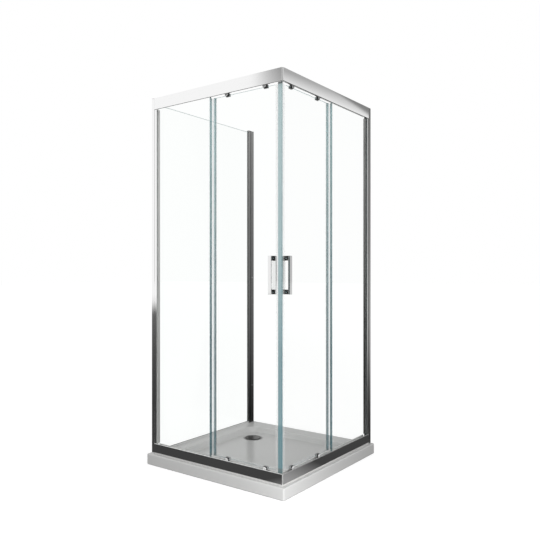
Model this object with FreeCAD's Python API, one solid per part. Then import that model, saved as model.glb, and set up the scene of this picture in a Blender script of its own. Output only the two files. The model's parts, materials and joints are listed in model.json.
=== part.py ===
"""Square corner shower enclosure on a low tray, with two sliding glass doors that meet at the corner.

Units are millimetres, +Z is up, and the origin is the centre of the tray's underside.
The left facade faces -Y and the right facade faces +X; both have a fixed glass and a sliding door.
The glass side panel faces -X, and the open side, +Y, stands against a tiled wall.

Each facade is drawn in its own frame (s, n, z), and so is the side panel:
s runs along the facade, away from the end where it starts, n runs inward from its outer face.
"""
import FreeCAD
import Part
import math
import os

V = FreeCAD.Vector
TINY = 0.1

# ---------------------------------------------------------------- tray
TRAY_SIZE = 900.0
TRAY_HEIGHT = 57.0
TRAY_CORNER_R = 8.0
TRAY_EDGE_R = 6.0
TRAY_FOOT = 3.0
TRAY_SKIN = 6.0
RIM_WIDTH = 102.0
BASIN_DEPTH = 30.0
BASIN_LEAN = 12.0
BASIN_CORNER_R = 60.0

# ---------------------------------------------------------------- waste
WASTE_FROM_SIDE = 208.0
WASTE_FROM_WALL = 237.0
WASTE_HOLE_R = 45.0
WASTE_HOLE_GAP = 2.0
WASTE_FLANGE_R = 58.0
WASTE_FLANGE_T = 2.5
WASTE_RECESS = 3.0
WASTE_WALL = 3.0
WASTE_FOOT = 4.0
OUTLET_R = 25.0
NUT_HEIGHT = 10.0
NUT_RING = 13.0
NUT_NOTCHES = 8
NUT_NOTCH_R = 3.0
CORE_CLEARANCE = 4.0
CUP_GAP = 2.0
CUP_WALL = 2.0
CUP_HEIGHT = 13.0
CUP_HOLES = 8
CUP_HOLE_R = 4.0
COVER_R = 47.0
COVER_T = 3.0
COVER_LIFT = 2.0
COVER_LEG_R = 0.9
COVER_LEGS = 3

# ---------------------------------------------------------------- enclosure
FACADE_OVERHANG = 19.0
WALL_OVERHANG = 10.0
SILL_HEIGHT = 8.0
SILL_INSET = 1.0
FRAME_HEIGHT = 1900.0
GLASS = 6.0
GASKET = 1.0
FIXED_GLASS_N = 6.0
DOOR_GLASS_N = 20.0

# rails
RAIL_DEPTH = 38.0
RAIL_WALL = 2.5
RAIL_PLATE = 3.0
RAIL_CORNER = 6.0
RAIL_EDGE_R = 2.0
BOTTOM_RAIL_HEIGHT = 48.0
BOTTOM_BACK_WALL = 40.0
TOP_RAIL_HEIGHT = 62.0
WEB = 2.0
WEB_HEIGHT = 24.0
WEB_GASKET = 2.0
LEDGE_RISE = 15.0
LEDGE_WIDTH = 8.0
LEDGE = 2.5
RIDGE_N = 30.5
RIDGE_WIDTH = 3.0
BOTTOM_RIDGE = 3.0
TOP_RIDGE = 1.5

# posts, wall channels and glazing profiles
POST_WIDTH = 20.0
POST_DEPTH = 30.0
PROFILE_WALL = 2.0
CAP = 1.5
CAP_PLUG = 8.0
SLOT_DEPTH = 12.0
POST_SLOT = 14.0
GLASS_PLAY = 2.0
WALL_CHANNEL = 22.0
SIDE_CHANNEL = 28.0
SIDE_CHANNEL_WIDTH = 18.0
SIDE_CHANNEL_DROP = 17.0
GLAZING_RECESS = 2.5
GLAZING_FACE = 14.0
GLAZING_DEPTH = 25.0
GLAZING_HIDDEN = 11.0
SIDE_GLAZING_FACE = 22.0
SIDE_GLAZING_HIDDEN = 18.0
SIDE_GLASS_DROP = 27.0
SIDE_SILL = 10.0

# wall screw holes
WALL_HOLE_R = 3.0
WALL_HOLE_FIRST = 150.0
WALL_HOLE_SPACING = 540.0
WALL_HOLES = 4

# fixed glass
FIXED_GLASS_EDGE = 446.0
FIXED_GLASS_RISE = 4.0
FIXED_GLASS_HOLD = 43.0
GASKET_GRIP = 8.0
RAIL_GASKET = 12.0
SETTING_BLOCK = 60.0

# brackets and their screws
CORNER_BRACKET = 60.0
END_BRACKET = 40.0
END_BRACKET_DEPTH = 11.0
BRACKET_HEIGHT = 8.0
SCREW_R = 2.0
SCREW_BITE = 2.0
SCREW_FIT = 0.02
SCREW_HEAD_R = 3.5
SCREW_HEAD = 2.0
CHANNEL_SCREW_FIRST = 240.0
CHANNEL_SCREW_SPACING = 700.0
CHANNEL_SCREWS = 3

# ---------------------------------------------------------------- doors
LEFT_DOOR_LEAD = 46.0
RIGHT_DOOR_LEAD = 35.0
GLASS_OVERLAP = 18.0
DOOR_TOP_GAP = 4.0
DOOR_BOTTOM_GAP = 5.0
DOOR_TRAVEL = 330.0

# seals
CLIP = 1.5
CLIP_GRIP = 8.0
MAGNET_GAP = 0.3
MAGNET_REACH = 5.0
DRIP_GAP = 1.0
FIN = 1.2
FIN_N = 14.6
FIN_REACH = 28.0

# carriages
CARRIAGE_FIRST = 70.0
CARRIAGE_SPACING = 232.5
CARRIAGE_WIDTH = 46.0
CARRIAGE_TAIL = 8.0
CARRIAGE_MARGIN = 1.0
NECK_WIDTH = 24.0
NECK_LENGTH = 12.0
JAW_INNER = 7.0
COVER_LENGTH = 26.0
COVER_HEIGHT = 24.0
COVER_DEPTH = 5.5
COVER_WALL = 1.8
COVER_OVERLAP = 5.0
COVER_PLAY = 0.2

# wheels and axles
RUN_GAP = 0.3
WHEEL_PITCH = 24.0
TREAD_R = 10.0
WHEEL_FLANGE = 1.0
WHEEL_WIDTH = 6.0
AXLE_R = 2.5
AXLE_FIT = 0.05
AXLE_SEAT = 0.02
AXLE_HEAD_R = 4.0
AXLE_HEAD = 1.0
AXLE_PLAY = 0.2

# travel stops
STOP_LENGTH = 8.0
STOP_HEIGHT = 14.0

# handles
HANDLE_INSET = 29.0
HANDLE_CENTRE = 1018.5
HANDLE_HEIGHT = 179.0
HANDLE_WIDTH = 18.0
HANDLE_DEPTH = 11.0
HANDLE_STANDOFF = 10.5
HANDLE_EDGE_R = 2.5
HANDLE_LEG = 22.0
HANDLE_LEG_WIDTH = 14.0
STUD_R = 2.5
STUD_GRIP = 8.0
STUD_GLASS_GAP = 1.5

# ---------------------------------------------------------------- places worked out from the sizes
FACE = TRAY_SIZE / 2 - FACADE_OVERHANG
WALL = TRAY_SIZE / 2 - WALL_OVERHANG
LEFT_LENGTH = 2 * FACE
RIGHT_LENGTH = FACE + WALL
LEFT_RAIL_END = LEFT_LENGTH - POST_WIDTH
RIGHT_RAIL_END = RIGHT_LENGTH - WALL_CHANNEL

FLOOR_Z = TRAY_HEIGHT - BASIN_DEPTH
WASTE_X = -TRAY_SIZE / 2 + WASTE_FROM_SIDE
WASTE_Y = TRAY_SIZE / 2 - WASTE_FROM_WALL
WASTE_TUBE_R = WASTE_HOLE_R - WASTE_HOLE_GAP
CUP_R = WASTE_TUBE_R - WASTE_WALL - CUP_GAP
CUP_Z = WASTE_FOOT + WASTE_WALL

SILL_TOP = TRAY_HEIGHT + SILL_HEIGHT
FRAME_TOP = SILL_TOP + FRAME_HEIGHT
BOTTOM_RAIL_TOP = SILL_TOP + BOTTOM_RAIL_HEIGHT
TOP_RAIL_Z = FRAME_TOP - TOP_RAIL_HEIGHT
LEDGE_Z = TOP_RAIL_Z + LEDGE_RISE
RAIL_BACK = RAIL_DEPTH - RAIL_WALL
WEB_N = FIXED_GLASS_N + GLASS + WEB_GASKET
SIDE_TOP = FRAME_TOP - SIDE_CHANNEL_DROP
SIDE_GLASS_TOP = FRAME_TOP - SIDE_GLASS_DROP
SIDE_GLASS_Z = TRAY_HEIGHT + PROFILE_WALL + GASKET
SIDE_PROFILE_WIDTH = SIDE_CHANNEL_WIDTH - 2 * GLAZING_RECESS
FIXED_GLASS_Z = SILL_TOP + RAIL_PLATE + FIXED_GLASS_RISE
FIXED_GLASS_TOP = TOP_RAIL_Z + FIXED_GLASS_HOLD

SCREW_LENGTH = BRACKET_HEIGHT + SCREW_BITE

DOOR_TRAIL = FIXED_GLASS_EDGE - GLASS_OVERLAP
DOOR_Z = BOTTOM_RAIL_TOP + DOOR_BOTTOM_GAP
DOOR_TOP = TOP_RAIL_Z - DOOR_TOP_GAP
DOOR_BACK_N = DOOR_GLASS_N + GLASS
DRIP_Z = BOTTOM_RAIL_TOP + DRIP_GAP
WHEEL_R = TREAD_R + WHEEL_FLANGE
WHEEL_N = RIDGE_N - WHEEL_WIDTH / 2
WHEEL_BACK = RIDGE_N + WHEEL_WIDTH / 2
BOTTOM_WHEEL_Z = SILL_TOP + RAIL_PLATE + BOTTOM_RIDGE + RUN_GAP + TREAD_R
TOP_WHEEL_Z = LEDGE_Z + LEDGE + TOP_RIDGE + RUN_GAP + TREAD_R
COVER_CENTRE = COVER_HEIGHT / 2 - COVER_OVERLAP

SIDES = ("left", "right")
RIGHT_WALL_CHANNEL = (WALL_CHANNEL, GLAZING_HIDDEN, POST_DEPTH)
SIDE_WALL_CHANNEL = (SIDE_CHANNEL, SIDE_GLAZING_HIDDEN, SIDE_CHANNEL_WIDTH)
DOOR_LEAD = {"left": LEFT_DOOR_LEAD, "right": RIGHT_DOOR_LEAD}
RAIL_END = {"left": LEFT_RAIL_END, "right": RIGHT_RAIL_END}


# ---------------------------------------------------------------- helpers
def block(s0, s1, n0, n1, z0, z1):
    """A box between two corners."""
    return Part.makeBox(s1 - s0, n1 - n0, z1 - z0, V(s0, n0, z0))


def rod(radius, s, z, n0, n1):
    """A round bar that runs inward, from n0 to n1."""
    return Part.makeCylinder(radius, n1 - n0, V(s, n0, z), V(0, 1, 0))


def ring(outer_r, inner_r, z0, z1):
    """An upright tube on the waste's axis."""
    base = V(WASTE_X, WASTE_Y, z0)
    outer = Part.makeCylinder(outer_r, z1 - z0, base)
    return outer.cut(Part.makeCylinder(inner_r, z1 - z0, base))


def disc(radius, z0, z1):
    """An upright disc on the waste's axis."""
    return Part.makeCylinder(radius, z1 - z0, V(WASTE_X, WASTE_Y, z0))


def joined(shapes):
    """One solid from shapes that touch."""
    whole = shapes[0]
    for shape in shapes[1:]:
        whole = whole.fuse(shape)
    return whole.removeSplitter()


def prism(points, z0, z1):
    """An upright solid over a closed plan outline of (s, n) points."""
    corners = [V(s, n, z0) for s, n in points]
    outline = Part.makePolygon(corners + corners[:1])
    return Part.Face(outline).extrude(V(0, 0, z1 - z0))


def stadium(length, height, s, z, n0, n1):
    """A plate with round ends, standing in the facade's plane."""
    radius = height / 2
    reach = length / 2 - radius
    shapes = [block(s - reach, s + reach, n0, n1, z - radius, z + radius)]
    for end in (-1, 1):
        shapes.append(rod(radius, s + end * reach, z, n0, n1))
    return joined(shapes)


def placed(facade, shape):
    """Carry a shape from a facade's frame (s, n, z) to the enclosure's own frame."""
    if facade == "left":
        moved = shape.mirror(V(0, 0, 0), V(1, 0, 0))
        moved.translate(V(FACE, -FACE, 0))
    elif facade == "right":
        moved = shape.copy()
        moved.rotate(V(0, 0, 0), V(0, 0, 1), 90)
        moved.translate(V(FACE, -FACE, 0))
    else:
        moved = shape.mirror(V(0, 0, 0), V(1, -1, 0))
        moved.translate(V(-FACE, -FACE, 0))
    return moved


def on_both(make):
    """The same piece on the left and right facades."""
    return [placed(side, shape) for side in SIDES for shape in make(side)]


def clear_of_mitre(shape, gap=0.0):
    """Cut a piece of a facade back to the 45 degree plane where the two facades meet."""
    reach = RAIL_DEPTH + HANDLE_DEPTH
    tool = prism([(gap, 0), (reach + gap, reach), (-reach, reach), (-reach, 0)], 0, FRAME_TOP)
    return shape.cut(tool)


# ---------------------------------------------------------------- tray
def rounded_square(size, radius, z):
    """A closed outline, centred on the tray, of lines and quarter circles."""
    half = size / 2
    flat = half - radius
    bulge = radius * math.sqrt(0.5)
    edges = []
    for quarter in range(4):
        turn = FreeCAD.Rotation(V(0, 0, 1), 90 * quarter)
        line = Part.makeLine(turn.multVec(V(half, -flat, z)), turn.multVec(V(half, flat, z)))
        middle = turn.multVec(V(flat + bulge, flat + bulge, z))
        arc = Part.Arc(turn.multVec(V(half, flat, z)), middle, turn.multVec(V(flat, half, z)))
        edges += [line, arc.toShape()]
    return Part.Wire(edges)


def rounded_block(size, radius, z0, z1):
    """An upright square block with round corners in plan."""
    return Part.Face(rounded_square(size, radius, z0)).extrude(V(0, 0, z1 - z0))


def basin_body(growth):
    """The basin's hollow, or with the skin as growth, the outside of the skin round it."""
    top = TRAY_SIZE - 2 * RIM_WIDTH + 2 * growth
    foot = top - 2 * BASIN_LEAN
    upper = rounded_square(top, BASIN_CORNER_R + growth, TRAY_HEIGHT)
    lower = rounded_square(foot, BASIN_CORNER_R + growth - BASIN_LEAN, FLOOR_Z - growth)
    return Part.makeLoft([lower, upper], True, True)


def tray_core():
    """The bonded core that fills the tray from below, round the basin's skin."""
    size = TRAY_SIZE - 2 * TRAY_SKIN
    inside = rounded_block(size, TRAY_CORNER_R - TRAY_SKIN, 0, TRAY_HEIGHT - TRAY_SKIN)
    return inside.cut(basin_body(TRAY_SKIN))


def shower_tray():
    """The moulded skin: skirt with a bevelled foot, rounded rim and basin, the waste's hole and recess."""
    outside = rounded_block(TRAY_SIZE, TRAY_CORNER_R, 0, TRAY_HEIGHT)
    foot = [edge for edge in outside.Edges if edge.BoundBox.ZMax < TINY]
    outside = outside.makeChamfer(TRAY_FOOT, foot)
    rim = [edge for edge in outside.Edges if edge.BoundBox.ZMin > TRAY_HEIGHT - TINY]
    skin = outside.makeFillet(TRAY_EDGE_R, rim).cut(basin_body(0)).cut(tray_core())
    skin = skin.cut(disc(WASTE_HOLE_R, FLOOR_Z - TRAY_SKIN, FLOOR_Z))
    return skin.cut(disc(WASTE_FLANGE_R + RUN_GAP, FLOOR_Z - WASTE_RECESS, FLOOR_Z))


def tray_base_block():
    """The core with a well round the waste."""
    well = WASTE_TUBE_R + NUT_RING + CORE_CLEARANCE
    return tray_core().cut(disc(well, 0, FLOOR_Z))


def waste_flange():
    """The waste's body: a flange in the floor's recess, a tube and the outlet socket below."""
    seat = FLOOR_Z - WASTE_RECESS
    return joined([
        ring(WASTE_FLANGE_R, WASTE_TUBE_R - WASTE_WALL, seat, seat + WASTE_FLANGE_T),
        ring(WASTE_TUBE_R, WASTE_TUBE_R - WASTE_WALL, WASTE_FOOT, seat),
        ring(WASTE_TUBE_R, OUTLET_R, WASTE_FOOT, CUP_Z),
        ring(OUTLET_R + WASTE_WALL, OUTLET_R, 0, CUP_Z),
    ])


def waste_nut():
    """The notched ring nut that clamps the waste under the basin's skin."""
    top = FLOOR_Z - TRAY_SKIN
    outer_r = WASTE_TUBE_R + NUT_RING
    nut = ring(outer_r, WASTE_TUBE_R + AXLE_FIT, top - NUT_HEIGHT, top)
    for notch in range(NUT_NOTCHES):
        angle = 2 * math.pi * notch / NUT_NOTCHES
        centre = V(WASTE_X + outer_r * math.cos(angle), WASTE_Y + outer_r * math.sin(angle), 0)
        nut = nut.cut(Part.makeCylinder(NUT_NOTCH_R, top, centre))
    return nut


def waste_cup():
    """The lift-out strainer cup that stands on the waste's floor."""
    hollow = disc(CUP_R - CUP_WALL, CUP_Z + CUP_WALL, CUP_Z + CUP_HEIGHT)
    cup = disc(CUP_R, CUP_Z, CUP_Z + CUP_HEIGHT).cut(hollow)
    circle = OUTLET_R - CUP_HOLE_R - CUP_WALL
    for hole in range(CUP_HOLES):
        angle = 2 * math.pi * hole / CUP_HOLES
        centre = V(WASTE_X + circle * math.cos(angle), WASTE_Y + circle * math.sin(angle), CUP_Z)
        cup = cup.cut(Part.makeCylinder(CUP_HOLE_R, CUP_WALL, centre))
    return cup


def waste_cover():
    """The round cover plate, on legs that stand on the cup's rim."""
    under = FLOOR_Z - WASTE_RECESS + WASTE_FLANGE_T + COVER_LIFT
    plate = disc(COVER_R, under, under + COVER_T)
    rim = [edge for edge in plate.Edges if edge.BoundBox.ZMin > under + COVER_T - TINY]
    shapes = [plate.makeFillet(COVER_T / 2, rim)]
    circle = CUP_R - CUP_WALL / 2
    for leg in range(COVER_LEGS):
        angle = 2 * math.pi * leg / COVER_LEGS
        foot = V(WASTE_X + circle * math.cos(angle), WASTE_Y + circle * math.sin(angle), CUP_Z + CUP_HEIGHT)
        shapes.append(Part.makeCylinder(COVER_LEG_R, under - foot.z, foot))
    return joined(shapes)


# ---------------------------------------------------------------- rails
def mitred(shapes):
    """A rail's walls as one length, mitred and cut flat at the corner where the facades meet."""
    corner = prism([(0, 0), (RAIL_CORNER, 0), (0, RAIL_CORNER)], 0, FRAME_TOP)
    return clear_of_mitre(joined(shapes)).cut(corner)


def front_wall(end, z0, z1, rounded_z):
    """A rail's front wall, with its free edge rounded outside."""
    wall = block(0, end, 0, RAIL_WALL, z0, z1)
    rounded = [edge for edge in wall.Edges
               if edge.BoundBox.XLength > TINY and edge.BoundBox.YMax < TINY
               and abs(edge.BoundBox.ZMax - rounded_z) < TINY]
    return wall.makeFillet(RAIL_EDGE_R, rounded)


def bottom_rail(end):
    """Floor, front wall, back wall, glazing web and the wheels' ridge."""
    floor = SILL_TOP + RAIL_PLATE
    ridge = (RIDGE_N - RIDGE_WIDTH / 2, RIDGE_N + RIDGE_WIDTH / 2)
    return mitred([
        block(0, end, 0, RAIL_DEPTH, SILL_TOP, floor),
        front_wall(end, SILL_TOP, BOTTOM_RAIL_TOP, BOTTOM_RAIL_TOP),
        block(0, end, RAIL_BACK, RAIL_DEPTH, SILL_TOP, SILL_TOP + BOTTOM_BACK_WALL),
        block(0, end, WEB_N, WEB_N + WEB, floor, floor + WEB_HEIGHT),
        block(0, end, ridge[0], ridge[1], floor, floor + BOTTOM_RIDGE),
    ])


def top_rail(end):
    """Roof, front wall, shorter back wall, glazing web and the ledge with the wheels' ridge."""
    roof = FRAME_TOP - RAIL_PLATE
    ledge_top = LEDGE_Z + LEDGE
    ridge = (RIDGE_N - RIDGE_WIDTH / 2, RIDGE_N + RIDGE_WIDTH / 2)
    return mitred([
        block(0, end, 0, RAIL_DEPTH, roof, FRAME_TOP),
        front_wall(end, TOP_RAIL_Z, FRAME_TOP, TOP_RAIL_Z),
        block(0, end, RAIL_BACK, RAIL_DEPTH, LEDGE_Z, FRAME_TOP),
        block(0, end, WEB_N, WEB_N + WEB, roof - WEB_HEIGHT, roof),
        block(0, end, RAIL_BACK - LEDGE_WIDTH, RAIL_BACK, LEDGE_Z, ledge_top),
        block(0, end, ridge[0], ridge[1], ledge_top, ledge_top + TOP_RIDGE),
    ])


def base_strip(side):
    """The light packing strip between the tray's rim and a bottom rail."""
    strip = block(0, RAIL_END[side], SILL_INSET, RAIL_DEPTH - SILL_INSET, TRAY_HEIGHT, SILL_TOP)
    return [clear_of_mitre(strip)]


def bracket_levels():
    """Lower and upper face of the brackets in the bottom rail and in the top rail."""
    floor = SILL_TOP + RAIL_PLATE
    roof = FRAME_TOP - RAIL_PLATE
    return ((floor, floor + BRACKET_HEIGHT), (roof - BRACKET_HEIGHT, roof))


def corner_brackets():
    """The L shaped inserts that hold the mitred rails together."""
    brackets = []
    for z0, z1 in bracket_levels():
        arm = block(RAIL_WALL, CORNER_BRACKET, RAIL_WALL, WEB_N, z0, z1)
        brackets.append(joined([placed(side, drilled(arm, bracket_screws(side))) for side in SIDES]))
    return brackets


def end_bracket(side):
    """The inserts that hold a facade's rails to the corner post or the wall channel."""
    end = RAIL_END[side]
    back = POST_DEPTH - PROFILE_WALL
    reach = GLAZING_HIDDEN if side == "right" else 0
    brackets = []
    for z0, z1 in bracket_levels():
        bracket = block(end - END_BRACKET, end + reach, back - END_BRACKET_DEPTH, back, z0, z1)
        brackets.append(drilled(bracket, bracket_screws(side)))
    return brackets


# ---------------------------------------------------------------- posts, channels and glazing profiles
def slot_sides():
    """The two faces, across the glass, of every slot that grips a fixed glass."""
    return FIXED_GLASS_N - GASKET, FIXED_GLASS_N + GLASS + GASKET


def corner_post():
    """The closed post between the left facade and the side panel, with the side glass's slot."""
    near, far = slot_sides()
    web = POST_DEPTH - POST_SLOT
    post = block(0, POST_DEPTH, 0, POST_WIDTH, TRAY_HEIGHT, FRAME_TOP - CAP)
    post = post.cut(block(web, POST_DEPTH, near, far, TRAY_HEIGHT, FRAME_TOP))
    return placed("side", post.cut(post_chamber(TRAY_HEIGHT, FRAME_TOP)))


def post_chamber(z0, z1):
    """The post's closed hollow, beside the slot."""
    web = POST_DEPTH - POST_SLOT
    return block(PROFILE_WALL, web - PROFILE_WALL, PROFILE_WALL, POST_WIDTH - PROFILE_WALL, z0, z1)


def wall_channel(depth, hidden, width, top):
    """A U profile whose back, with the screw holes, lies on the wall."""
    back = RIGHT_LENGTH - PROFILE_WALL
    channel = block(RIGHT_LENGTH - depth, RIGHT_LENGTH, 0, width, TRAY_HEIGHT, top)
    channel = channel.cut(block(0, back, PROFILE_WALL, width - PROFILE_WALL, TRAY_HEIGHT, top))
    for hole in range(WALL_HOLES):
        z = TRAY_HEIGHT + WALL_HOLE_FIRST + hole * WALL_HOLE_SPACING
        bore = Part.makeCylinder(WALL_HOLE_R, PROFILE_WALL, V(back, width / 2, z), V(1, 0, 0))
        channel = channel.cut(bore)
    return drilled(channel, channel_screws(depth, hidden, width))


def wall_channels():
    """The channel at the right facade's end and the one at the side panel's end."""
    right = wall_channel(*RIGHT_WALL_CHANNEL, FRAME_TOP - CAP)
    side = wall_channel(*SIDE_WALL_CHANNEL, SIDE_TOP - CAP)
    return [placed("right", right), placed("side", side)]


def glazing_profile(start, end, depth, z0, z1):
    """A profile with a slot for the glass's edge in its face and a chamber beside the slot."""
    near, far = slot_sides()
    back = GLAZING_RECESS + depth
    profile = block(start, end, GLAZING_RECESS, back, z0, z1)
    profile = profile.cut(block(start, start + SLOT_DEPTH, near, far, z0, z1))
    chamber = far + PROFILE_WALL
    if back - PROFILE_WALL > chamber:
        inner = (start + PROFILE_WALL, end - PROFILE_WALL)
        profile = profile.cut(block(inner[0], inner[1], chamber, back - PROFILE_WALL, z0, z1))
    return profile


def glazing_profiles():
    """The profiles that hold the outer edge of each fixed glass."""
    shapes = []
    for side in SIDES:
        start = RAIL_END[side] - GLAZING_FACE
        end = RAIL_END[side] + (GLAZING_HIDDEN if side == "right" else 0)
        profile = glazing_profile(start, end, GLAZING_DEPTH, BOTTOM_RAIL_TOP, TOP_RAIL_Z)
        if side == "right":
            profile = drilled(profile, channel_screws(*RIGHT_WALL_CHANNEL))
        shapes.append(placed(side, profile))
    start = side_glazing_start()
    end = RIGHT_LENGTH - SIDE_CHANNEL + SIDE_GLAZING_HIDDEN
    profile = glazing_profile(start, end, SIDE_PROFILE_WIDTH, TRAY_HEIGHT, SIDE_TOP - CAP)
    return shapes + [placed("side", drilled(profile, channel_screws(*SIDE_WALL_CHANNEL)))]


def side_glazing_start():
    """Where the side panel's glazing profile begins."""
    return RIGHT_LENGTH - SIDE_CHANNEL - SIDE_GLAZING_FACE


def side_bottom_profile():
    """The slim U profile under the side glass."""
    near, far = slot_sides()
    start = POST_DEPTH
    end = side_glazing_start()
    back = GLAZING_RECESS + SIDE_PROFILE_WIDTH
    profile = block(start, end, GLAZING_RECESS, back, TRAY_HEIGHT, TRAY_HEIGHT + SIDE_SILL)
    slot = block(start, end, near, far, TRAY_HEIGHT + PROFILE_WALL, TRAY_HEIGHT + SIDE_SILL)
    return placed("side", profile.cut(slot))


def profile_caps():
    """The end caps on the post and on both wall channels."""
    top = FRAME_TOP - CAP
    post = joined([
        block(0, POST_DEPTH, 0, POST_WIDTH, top, FRAME_TOP),
        post_chamber(top - CAP_PLUG, top),
    ])
    right = channel_cap(RIGHT_LENGTH - WALL_CHANNEL, POST_DEPTH, FRAME_TOP)
    side = channel_cap(side_glazing_start(), SIDE_CHANNEL_WIDTH, SIDE_TOP)
    return [placed("side", post), placed("right", right), placed("side", side)]


def channel_cap(start, width, top):
    """A flat cap over a wall channel, with a plug between the channel's back and its profile."""
    back = RIGHT_LENGTH - PROFILE_WALL
    plug = back - (SIDE_CHANNEL - PROFILE_WALL - SIDE_GLAZING_HIDDEN)
    return joined([
        block(start, RIGHT_LENGTH, 0, width, top - CAP, top),
        block(plug, back, PROFILE_WALL, width - PROFILE_WALL, top - CAP - CAP_PLUG, top - CAP),
    ])


# ---------------------------------------------------------------- fixed glass and its gaskets
def fixed_glass_end(side):
    """Where a facade's fixed glass ends, inside its glazing profile."""
    return RAIL_END[side] - GLAZING_FACE + SLOT_DEPTH - GLASS_PLAY


def fixed_glass(side):
    """A pane from the bottom rail's channel to the top rail's channel."""
    return block(FIXED_GLASS_EDGE, fixed_glass_end(side), FIXED_GLASS_N, FIXED_GLASS_N + GLASS,
                 FIXED_GLASS_Z, FIXED_GLASS_TOP)


def side_glass_span():
    """Start and end of the side glass along the side panel."""
    return POST_DEPTH - POST_SLOT + GLASS_PLAY, side_glazing_start() + SLOT_DEPTH - GLASS_PLAY


def side_glass():
    """The pane of the side panel, free along its top edge."""
    start, end = side_glass_span()
    back = FIXED_GLASS_N + GLASS
    return placed("side", block(start, end, FIXED_GLASS_N, back, SIDE_GLASS_Z, SIDE_GLASS_TOP))


def gasket_pair(s0, s1, z0, z1, near=GASKET, far=GASKET):
    """Two strips that fill the play between a fixed glass and its slot."""
    back = FIXED_GLASS_N + GLASS
    return [
        block(s0, s1, FIXED_GLASS_N - near, FIXED_GLASS_N, z0, z1),
        block(s0, s1, back, back + far, z0, z1),
    ]


def setting_blocks(start, end, z0, z1):
    """Two pads that carry the weight of a pane."""
    pads = []
    for middle in (start + SETTING_BLOCK, end - SETTING_BLOCK):
        half = SETTING_BLOCK / 2
        pads.append(block(middle - half, middle + half, FIXED_GLASS_N, FIXED_GLASS_N + GLASS, z0, z1))
    return pads


def facade_gaskets(side):
    """The strips in a facade's glazing profile and in both rails, and the pads below the glass."""
    start = RAIL_END[side] - GLAZING_FACE
    end = fixed_glass_end(side)
    web_top = SILL_TOP + RAIL_PLATE + WEB_HEIGHT
    web_foot = FRAME_TOP - RAIL_PLATE - WEB_HEIGHT
    front = FIXED_GLASS_N - RAIL_WALL
    strips = gasket_pair(start, start + GASKET_GRIP, BOTTOM_RAIL_TOP, TOP_RAIL_Z)
    strips += gasket_pair(FIXED_GLASS_EDGE, end, web_top - RAIL_GASKET, web_top, front, WEB_GASKET)
    strips += gasket_pair(FIXED_GLASS_EDGE, end, web_foot, web_foot + RAIL_GASKET, front, WEB_GASKET)
    return strips + setting_blocks(FIXED_GLASS_EDGE, end, SILL_TOP + RAIL_PLATE, FIXED_GLASS_Z)


def side_gaskets():
    """The strips round three edges of the side glass and the pads below it."""
    start, end = side_glass_span()
    slot = side_glazing_start()
    sill_top = TRAY_HEIGHT + SIDE_SILL
    strips = gasket_pair(POST_DEPTH - GASKET_GRIP, POST_DEPTH, SIDE_GLASS_Z, SIDE_GLASS_TOP)
    strips += gasket_pair(slot, slot + GASKET_GRIP, SIDE_GLASS_Z, SIDE_GLASS_TOP)
    strips += gasket_pair(POST_DEPTH, slot, SIDE_GLASS_Z, sill_top)
    return strips + setting_blocks(start, end, TRAY_HEIGHT + PROFILE_WALL, SIDE_GLASS_Z)


def glazing_gaskets():
    """All strips and pads round the three fixed panes."""
    return on_both(facade_gaskets) + [placed("side", strip) for strip in side_gaskets()]


def edge_clip(edge, toward, front, z0, z1):
    """A U section clipped over a pane's upright edge; the pane lies on the toward side."""
    back = front + GLASS
    grip = sorted((edge, edge + toward * CLIP_GRIP))
    web = sorted((edge, edge - toward * CLIP))
    return [
        block(grip[0], grip[1], front - CLIP, front, z0, z1),
        block(grip[0], grip[1], back, back + CLIP, z0, z1),
        block(web[0], web[1], front - CLIP, back + CLIP, z0, z1),
    ]


def fixed_edge_seal(side):
    """The clear clip on the free edge of a facade's fixed glass."""
    return [joined(edge_clip(FIXED_GLASS_EDGE, 1, FIXED_GLASS_N, BOTTOM_RAIL_TOP, TOP_RAIL_Z))]


# ---------------------------------------------------------------- screws
def screw(point, direction):
    """A pan head screw; point is under its head and direction is the way it is driven."""
    shank = Part.makeCylinder(SCREW_R, SCREW_LENGTH, point, direction)
    head = Part.makeCylinder(SCREW_HEAD_R, SCREW_HEAD, point, direction * -1)
    return joined([shank, head])


def drilled(shape, screws):
    """A piece with a hole for each screw's shank."""
    for point, direction in screws:
        shape = shape.cut(Part.makeCylinder(SCREW_R + SCREW_FIT, SCREW_LENGTH, point, direction))
    return shape


def bracket_screws(side):
    """Place and direction of the screws in the rails' brackets, two in each corner arm and at each end."""
    corner_n = (RAIL_WALL + WEB_N) / 2
    end_n = POST_DEPTH - PROFILE_WALL - END_BRACKET_DEPTH / 2
    end = RAIL_END[side]
    spots = [(CORNER_BRACKET * share, corner_n) for share in (0.5, 0.8)]
    spots += [(end - END_BRACKET * share, end_n) for share in (0.25, 0.75)]
    (_, low), (high, _) = bracket_levels()
    down = [(V(s, n, low), V(0, 0, -1)) for s, n in spots]
    return down + [(V(s, n, high), V(0, 0, 1)) for s, n in spots]


def channel_screws(depth, hidden, width):
    """Place and direction of the screws between a wall channel and its glazing profile."""
    s = RIGHT_LENGTH - depth + hidden / 2
    first = TRAY_HEIGHT + CHANNEL_SCREW_FIRST
    rows = [first + row * CHANNEL_SCREW_SPACING for row in range(CHANNEL_SCREWS)]
    return [(V(s, width, z), V(0, -1, 0)) for z in rows]


def frame_screws():
    """Every screw of the fixed frame."""
    shapes = []
    for side in SIDES:
        shapes += [placed(side, screw(point, direction)) for point, direction in bracket_screws(side)]
    shapes += [placed("right", screw(*place)) for place in channel_screws(*RIGHT_WALL_CHANNEL)]
    return shapes + [placed("side", screw(*place)) for place in channel_screws(*SIDE_WALL_CHANNEL)]


# ---------------------------------------------------------------- doors
def carriage_places(side):
    """Centre along the facade of a door's two carriages."""
    first = DOOR_LEAD[side] + CARRIAGE_FIRST
    return first, first + CARRIAGE_SPACING


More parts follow.
